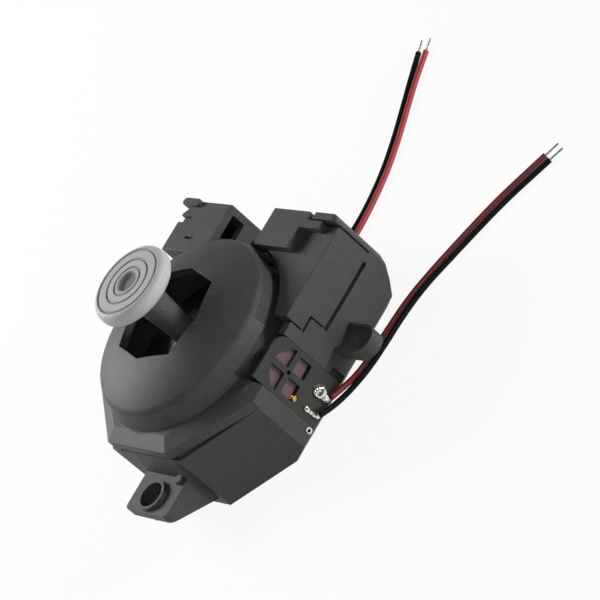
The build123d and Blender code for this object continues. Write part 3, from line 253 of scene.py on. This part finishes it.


# ABS without pigment filler but the same eroded tool: the mid grey of the cap, chalky and soft.
# Below the cap the shaft is painted darker, as painted shade from the cap.
greyAbs = dict(
    erodedAbs, colour="#b4b4b4", pale="#c0c0c0", roughness=0.5, grainMm=0.16, cloudMm=2.0,
    recessShade="#454545", recessShadeLowMm=31.9,  # painted shade in the ring grooves and the dimple lies only above this height
    ringRadiiMm=(2.7, 4.25, 6.1), ringCoreMm=0.12, ringWidthMm=0.34, ringShade=0.6,
    dimpleMm=2.05, dimpleFadeMm=(0.3, 0.4), dimpleShade=0.75,  # the fade outside and inside that radius
    # painted shade from the cap on the shaft below it
    shaft="#565656", shaftTopMm=29.6, shaftFadeMm=0.5,
)


# Darkens the stick with painted shade: in the ring grooves and the dimple of the cap, and on the shaft below
# the cap
def darkenStick(material, look):
    tree = material.node_tree
    shader = [n for n in tree.nodes if n.type == "BSDF_PRINCIPLED"][0]
    clean = shader.inputs["Base Color"].links[0].from_socket
    place = addNode(tree, "ShaderNodeTexCoord").outputs["Object"]
    split = addNode(tree, "ShaderNodeSeparateXYZ", {"Vector": place})
    flat = addNode(tree, "ShaderNodeCombineXYZ", {"X": split.outputs["X"], "Y": split.outputs["Y"]})
    reach = addNode(tree, "ShaderNodeVectorMath", {0: flat.outputs[0]}, operation="LENGTH").outputs["Value"]
    high = addNode(tree, "ShaderNodeMath", {0: split.outputs["Z"], 1: look["recessShadeLowMm"] * mm},
                   operation="GREATER_THAN")
    fadeOut, fadeIn = look["dimpleFadeMm"]
    # painted shade: the dimple and the ring grooves of the cap are darkened towards the recess colour
    recessShade = addNode(tree, "ShaderNodeMapRange", {"Value": reach,
                                                "From Min": (look["dimpleMm"] + fadeOut) * mm,
                                                "From Max": (look["dimpleMm"] - fadeIn) * mm,
                                                "To Min": 0.0, "To Max": look["dimpleShade"]}).outputs[0]
    for radius in look["ringRadiiMm"]:
        away = addNode(tree, "ShaderNodeMath", {0: reach, 1: radius * mm}, operation="SUBTRACT")
        size = addNode(tree, "ShaderNodeMath", {0: away.outputs[0]}, operation="ABSOLUTE")
        ring = addNode(tree, "ShaderNodeMapRange", {"Value": size.outputs[0],
                                                    "From Min": look["ringCoreMm"] * mm,
                                                    "From Max": look["ringWidthMm"] * mm,
                                                    "To Min": look["ringShade"], "To Max": 0.0})
        recessShade = addNode(tree, "ShaderNodeMath", {0: recessShade, 1: ring.outputs[0]}, operation="MAXIMUM").outputs[0]
    onTop = addNode(tree, "ShaderNodeMath", {0: recessShade, 1: high.outputs[0]}, operation="MULTIPLY")
    recessShaded = addNode(tree, "ShaderNodeMix", {"Factor": onTop.outputs[0], "A": clean,
                                              "B": linear(look["recessShade"])}, data_type="RGBA")
    # painted shade: below shaftTopMm the shaft turns to a darker grey, standing in for the cap's shadow
    below = addNode(tree, "ShaderNodeMapRange", {
        "Value": split.outputs["Z"], "From Min": (look["shaftTopMm"] + look["shaftFadeMm"]) * mm,
        "From Max": (look["shaftTopMm"] - look["shaftFadeMm"]) * mm})
    shaded = addNode(tree, "ShaderNodeMix", {"Factor": below.outputs[0], "A": recessShaded.outputs["Result"],
                                             "B": linear(look["shaft"])}, data_type="RGBA")
    tree.links.new(shaded.outputs["Result"], shader.inputs["Base Color"])


# What most of the small pieces share: two close tones in soft patches, with a slight relief in step
def patchyFinish(name, look):
    material, tree, shader = startMaterial(name, look["surface"])
    place = addNode(tree, "ShaderNodeTexCoord").outputs["Object"]
    patches = addNode(tree, "ShaderNodeTexNoise", {"Vector": place, "Scale": 1 / (look["patchMm"] * mm),
                                                   "Detail": look["detail"]})
    tint = addNode(tree, "ShaderNodeMix", {"Factor": patches.outputs[0], "A": linear(look["colour"]),
                                           "B": linear(look["second"])}, data_type="RGBA")
    tree.links.new(tint.outputs["Result"], shader.inputs["Base Color"])
    if "relief" in look:
        relief = addNode(tree, "ShaderNodeBump", {"Height": patches.outputs[0], "Strength": look["relief"],
                                                  "Distance": look["reliefMm"] * mm})
        tree.links.new(relief.outputs[0], shader.inputs["Normal"])
    return material


# Acetal, moulded and slippery: off-white with a waxy sheen and no grain
acetal = patchyFinish("moulded acetal", {
    "surface": {"Roughness": 0.38, "IOR": 1.48}, "colour": "#d3cfc6", "second": "#c2bdb2",
    "patchMm": 2.5, "detail": 3.0, "relief": 0.1, "reliefMm": 0.05,
})

# Polystyrene sheet, dyed dark red and half clear: the filter reads as a dull maroon through the windows
redStyrene = patchyFinish("dyed polystyrene", {
    "surface": {"Roughness": 0.42, "IOR": 1.59}, "colour": "#64484d", "second": "#553d42",
    "patchMm": 1.8, "detail": 3.0, "relief": 0.15, "reliefMm": 0.05,
})

# Brass, stamped and bright: warm yellow with fine drawing lines
brass = patchyFinish("stamped brass", {
    "surface": {"Metallic": 1.0, "Roughness": 0.28}, "colour": "#d9b56a", "second": "#b98e47",
    "patchMm": 0.15, "detail": 2.0, "relief": 0.2, "reliefMm": 0.02,
})

# Steel wire and screws, drawn and zinc plated: grey with fine lines
platedSteel = patchyFinish("zinc-plated steel", {
    "surface": {"Metallic": 1.0, "Roughness": 0.32}, "colour": "#b9b9b6", "second": "#9a9a98",
    "patchMm": 0.12, "detail": 2.0, "relief": 0.25, "reliefMm": 0.02,
})

# Epoxy, cast black round the sensor chips: glossy with a few pits
castEpoxy = patchyFinish("cast black epoxy", {
    "surface": {"Roughness": 0.22, "IOR": 1.55}, "colour": "#17171a", "second": "#242326",
    "patchMm": 0.25, "detail": 2.0, "relief": 0.2, "reliefMm": 0.03,
})

# Copper strands, tinned: bright silver with a trace of grey
tinnedCopper = patchyFinish("tinned copper", {
    "surface": {"Metallic": 1.0, "Roughness": 0.3}, "colour": "#b5b5b5", "second": "#8c8c8c",
    "patchMm": 0.4, "detail": 2.0,
})


# PVC, extruded over the strands: coloured, half glossy, with faint waves where the strands press through
def extrudedPvc(name, colour, dark, roughness, shine):
    return patchyFinish(name, {
        "surface": {"Roughness": roughness, "IOR": 1.53, "Specular IOR Level": shine},
        "colour": colour, "second": dark,
        "patchMm": 1.6, "detail": 3.0, "relief": 0.25, "reliefMm": 0.08,
    })


# Glass-fibre board under a dark solder mask: satin, with the weave of 0.4 mm yarns just showing
boardLook = {"colour": "#252623", "second": "#1f211e", "yarnMm": 0.4, "wander": 0.6, "turn": 45,
             "cloudMm": 3.0, "relief": 0.12, "reliefMm": 0.03}
maskedBoard, tree, shader = startMaterial("glass-fibre board", {"Roughness": 0.4, "IOR": 1.5})
place = addNode(tree, "ShaderNodeTexCoord").outputs["Object"]
turned = addNode(tree, "ShaderNodeMapping", {"Vector": place,
                                             "Rotation": (math.radians(boardLook["turn"]), 0, 0)})
warp, weft = [addNode(tree, "ShaderNodeTexWave", {
    "Vector": turned.outputs[0], "Scale": 1 / (boardLook["yarnMm"] * mm) / 2 / math.pi,
    "Distortion": boardLook["wander"]}, bands_direction=direction) for direction in "YZ"]
weave = addNode(tree, "ShaderNodeMath", {0: warp.outputs["Fac"], 1: weft.outputs["Fac"]}, operation="MULTIPLY")
cloud = addNode(tree, "ShaderNodeTexNoise", {"Vector": place, "Scale": 1 / (boardLook["cloudMm"] * mm),
                                             "Detail": 4.0})
tint = addNode(tree, "ShaderNodeMix", {"Factor": cloud.outputs[0], "A": linear(boardLook["colour"]),
                                       "B": linear(boardLook["second"])}, data_type="RGBA")
lift = addNode(tree, "ShaderNodeBump", {"Height": weave.outputs[0], "Strength": boardLook["relief"],
                                        "Distance": boardLook["reliefMm"] * mm})
tree.links.new(tint.outputs["Result"], shader.inputs["Base Color"])
tree.links.new(lift.outputs[0], shader.inputs["Normal"])

# Tin solder, melted and set: bright and slightly rippled, with olive flux in its hollows
solderLook = {"colour": "#e3e3de", "flux": "#8f8b6a", "rippleMm": 0.45, "relief": 0.25, "reliefMm": 0.15,
              "fluxMm": 0.7, "fluxFrom": 0.5, "fluxFull": 0.62}
tinSolder, tree, shader = startMaterial("set tin solder", {"Metallic": 1.0, "Roughness": 0.13})
place = addNode(tree, "ShaderNodeTexCoord").outputs["Object"]
ripple = addNode(tree, "ShaderNodeTexNoise", {"Vector": place, "Scale": 1 / (solderLook["rippleMm"] * mm),
                                              "Detail": 2.0})
flux = addNode(tree, "ShaderNodeTexNoise", {"Vector": place, "Scale": 1 / (solderLook["fluxMm"] * mm),
                                            "Detail": 3.0})
stain = addNode(tree, "ShaderNodeMapRange", {"Value": flux.outputs[0], "From Min": solderLook["fluxFrom"],
                                             "From Max": solderLook["fluxFull"]})
tint = addNode(tree, "ShaderNodeMix", {"Factor": stain.outputs[0], "A": linear(solderLook["colour"]),
                                       "B": linear(solderLook["flux"])}, data_type="RGBA")
wavy = addNode(tree, "ShaderNodeBump", {"Height": ripple.outputs[0], "Strength": solderLook["relief"],
                                        "Distance": solderLook["reliefMm"] * mm})
tree.links.new(tint.outputs["Result"], shader.inputs["Base Color"])
tree.links.new(wavy.outputs[0], shader.inputs["Normal"])


def finish(thing, material):
    thing.data.materials.clear()
    thing.data.materials.append(material)


blackAbs = mouldedAbs("spark-eroded black ABS", erodedAbs)
smoothBlackAbs = mouldedAbs("smooth black ABS", dict(erodedAbs, colour="#2b2b2b", pale="#333333",
                                                     roughness=0.4, grainMm=0.35))
stickAbs = mouldedAbs("spark-eroded grey ABS", greyAbs)
darkenStick(stickAbs, greyAbs)
darkRedPvc = extrudedPvc("dark red PVC", "#7a1e20", "#62171a", 0.4, 0.5)
redPvc = extrudedPvc("red PVC", "#a0363a", "#8e2f33", 0.55, 0.4)
blackPvc = extrudedPvc("black PVC", "#0e0e0f", "#09090a", 0.62, 0.12)

nodeFinishes = {
    "base_housing": blackAbs, "top_cover": blackAbs, "upper_corner_shell": blackAbs,
    "side_tower_shell": blackAbs, "stick": stickAbs, "dust_disc": smoothBlackAbs,
    "ball_bowl": acetal, "rocker_x": acetal, "rocker_y": acetal, "spring_seat": acetal,
    "plain_keeper_x": acetal, "plain_keeper_y": acetal, "geared_keeper_x": acetal, "geared_keeper_y": acetal,
    "code_wheel_x": smoothBlackAbs, "code_wheel_y": smoothBlackAbs, "window_filter": redStyrene,
    "side_board_x": maskedBoard, "side_board_y": maskedBoard,
    "inner_board_x": maskedBoard, "inner_board_y": maskedBoard,
    "emitter_x": castEpoxy, "emitter_y": castEpoxy, "detector_x": castEpoxy, "detector_y": castEpoxy,
    "solder_joints_x": tinSolder, "solder_joints_y": tinSolder, "eyelet": tinSolder,
    "brass_contact": brass, "centring_spring": platedSteel, "case_screws": platedSteel,
}
for name, material in nodeFinishes.items():
    finish(nodes[name], material)
wireFinishes = {
    "wire_red_x": (darkRedPvc, "dark_red_wire"), "wire_black_x": (blackPvc, "black_wire"),
    "wire_red_y": (redPvc, "red_wire"), "wire_black_y": (blackPvc, "black_wire"),
}
for name, (material, slot) in wireFinishes.items():
    finish(cordPieces[name], material)
for strands in strandPieces.values():
    finish(strands, tinnedCopper)
print("materials made")

# The two joints on the side board, melted by hand: a lump over the red wire's foot and a long thin
# one that runs down to the black wire
joints = {
    "boardMm": 21.0,  # face of the board, which cuts the lumps off
    "lumps": [  # centre in mm, half sizes in mm, height of the ripples in mm
        ((21.1, 0.15, 4.35), (0.85, 1.15, 1.45), 0.3),
        ((21.1, -0.15, 2.95), (0.8, 0.75, 0.95), 0.12),
        ((21.1, -3.5, 4.9), (0.5, 0.5, 0.75), 0.14),
        ((21.15, -3.6, 3.6), (0.42, 0.36, 1.1), 0.08),
        ((21.35, -3.35, 2.6), (0.4, 0.5, 0.45), 0.05),
    ],
    "rippleMm": 1.1,
    "subdivisions": 5,
}


def meltLumps(name, look):
    mesh = bmesh.new()
    for centre, halves, ripple in look["lumps"]:
        made = bmesh.ops.create_icosphere(mesh, subdivisions=look["subdivisions"], radius=1.0)
        for vertex in made["verts"]:
            out = vertex.co.copy()
            reach = Vector(a * b for a, b in zip(out, halves))
            wave = noise.noise((Vector(centre) + reach) / look["rippleMm"])
            place = Vector(centre) + reach + out * wave * ripple
            place.x = max(place.x, look["boardMm"])
            vertex.co = place * mm
    return smoothObject(name, mesh)


solderLumps = meltLumps("melted_joints_x", joints)
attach(solderLumps, "housing")
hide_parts("solder_joints_x")
finish(solderLumps, tinSolder)

# The mark that the moulding tool's pin leaves on the shaft: a low raised ring
pinMark = {"place": (2.55, 0.0, 26.0), "radiusMm": 0.62, "sectionMm": 0.15, "steps": 48, "sides": 10}


def raiseRing(name, look):
    place = Vector(look["place"])
    out = Vector((place.x, place.y, 0)).normalized()
    side = upward.cross(out)
    sides = look["sides"]
    mesh = bmesh.new()
    rows = []
    for i in range(look["steps"]):
        turn = 2 * math.pi * i / look["steps"]
        spoke = side * math.cos(turn) + upward * math.sin(turn)
        middle = place + spoke * look["radiusMm"]
        reach = Vector((middle.x, middle.y, 0)).length
        middle += out * (place.xy.length - reach)
        rim = [middle + (spoke * math.cos(t) + out * math.sin(t)) * look["sectionMm"]
               for t in (2 * math.pi * k / sides for k in range(sides))]
        rows.append([mesh.verts.new(point * mm) for point in rim])
    for i, row in enumerate(rows):
        following = rows[(i + 1) % len(rows)]
        for k in range(sides):
            mesh.faces.new((row[k], row[(k + 1) % sides], following[(k + 1) % sides], following[k]))
    bmesh.ops.recalc_face_normals(mesh, faces=mesh.faces)
    return smoothObject(name, mesh)


markRing = raiseRing("pin_mark", pinMark)
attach(markRing, "stick")
finish(markRing, stickAbs)
print("joints and mark made")

# The floor, a matt white card that the camera sees mostly as plain white

floorLook = {"colour": "#f6f6f6", "size": 4.0, "roughness": 0.9, "plain": 0.9}
bpy.ops.mesh.primitive_plane_add(size=floorLook["size"], location=(0, 0, 0))
floor = bpy.context.object
floor.name = "floor"
floorMaterial, tree, shader = startMaterial("matt white card", {"Roughness": floorLook["roughness"],
                                                                "Base Color": linear(floorLook["colour"])})
rays = addNode(tree, "ShaderNodeLightPath")
seen = addNode(tree, "ShaderNodeMath", {0: rays.outputs["Is Camera Ray"], 1: rays.outputs["Is Glossy Ray"]},
               operation="MAXIMUM")
seenToo = addNode(tree, "ShaderNodeMath", {0: seen.outputs[0], 1: rays.outputs["Is Transmission Ray"]},
                  operation="MAXIMUM")
share = addNode(tree, "ShaderNodeMath", {0: seenToo.outputs[0], 1: floorLook["plain"]}, operation="MULTIPLY")
glow = addNode(tree, "ShaderNodeEmission", {"Color": (1, 1, 1, 1), "Strength": 1.0})
mixed = addNode(tree, "ShaderNodeMixShader", {0: share.outputs[0], 1: shader.outputs[0], 2: glow.outputs[0]})
output = [n for n in tree.nodes if n.type == "OUTPUT_MATERIAL"][0]
tree.links.new(mixed.outputs[0], output.inputs["Surface"])
floor.data.materials.append(floorMaterial)

# The studio: white behind everything, though it lights the model only dimly

studio = {"backdrop": 1.0, "fill": 0.12}
world = bpy.data.worlds.new("studio")
bpy.context.scene.world = world
world.use_nodes = True
worldTree = world.node_tree
worldTree.nodes.clear()
dim = addNode(worldTree, "ShaderNodeBackground", {"Color": (1, 1, 1, 1), "Strength": studio["fill"]})
white = addNode(worldTree, "ShaderNodeBackground", {"Color": (1, 1, 1, 1), "Strength": studio["backdrop"]})
worldRays = addNode(worldTree, "ShaderNodeLightPath")
pick = addNode(worldTree, "ShaderNodeMixShader", {0: worldRays.outputs["Is Camera Ray"], 1: dim.outputs[0],
                                                  2: white.outputs[0]})
addNode(worldTree, "ShaderNodeOutputWorld", {"Surface": pick.outputs[0]})

lampAim = Vector((0, 0, 0.015))
lamps = {  # name: place in metres, width in metres, watts
    "sideLamp": ((-0.40, -0.06, 0.24), 0.22, 2.25),
    "rearLamp": ((0.34, 0.32, 0.07), 0.14, 1.6),
    "frontLamp": ((0.09, -0.42, 0.18), 0.22, 0.15),
    "eyeLamp": ((0.385, -0.125, 0.294), 0.25, 0.5),
}
for name, (place, width, watts) in lamps.items():
    lampData = bpy.data.lights.new(name, "AREA")
    lampData.shape = "DISK"
    lampData.size = width
    lampData.energy = watts
    lamp = addObject(name, lampData)
    lamp.location = place
    lamp.rotation_euler = (Vector(place) - lampAim).to_track_quat("Z", "Y").to_euler()

bpy.context.scene.view_settings.view_transform = "Standard"
print("floor and light made")
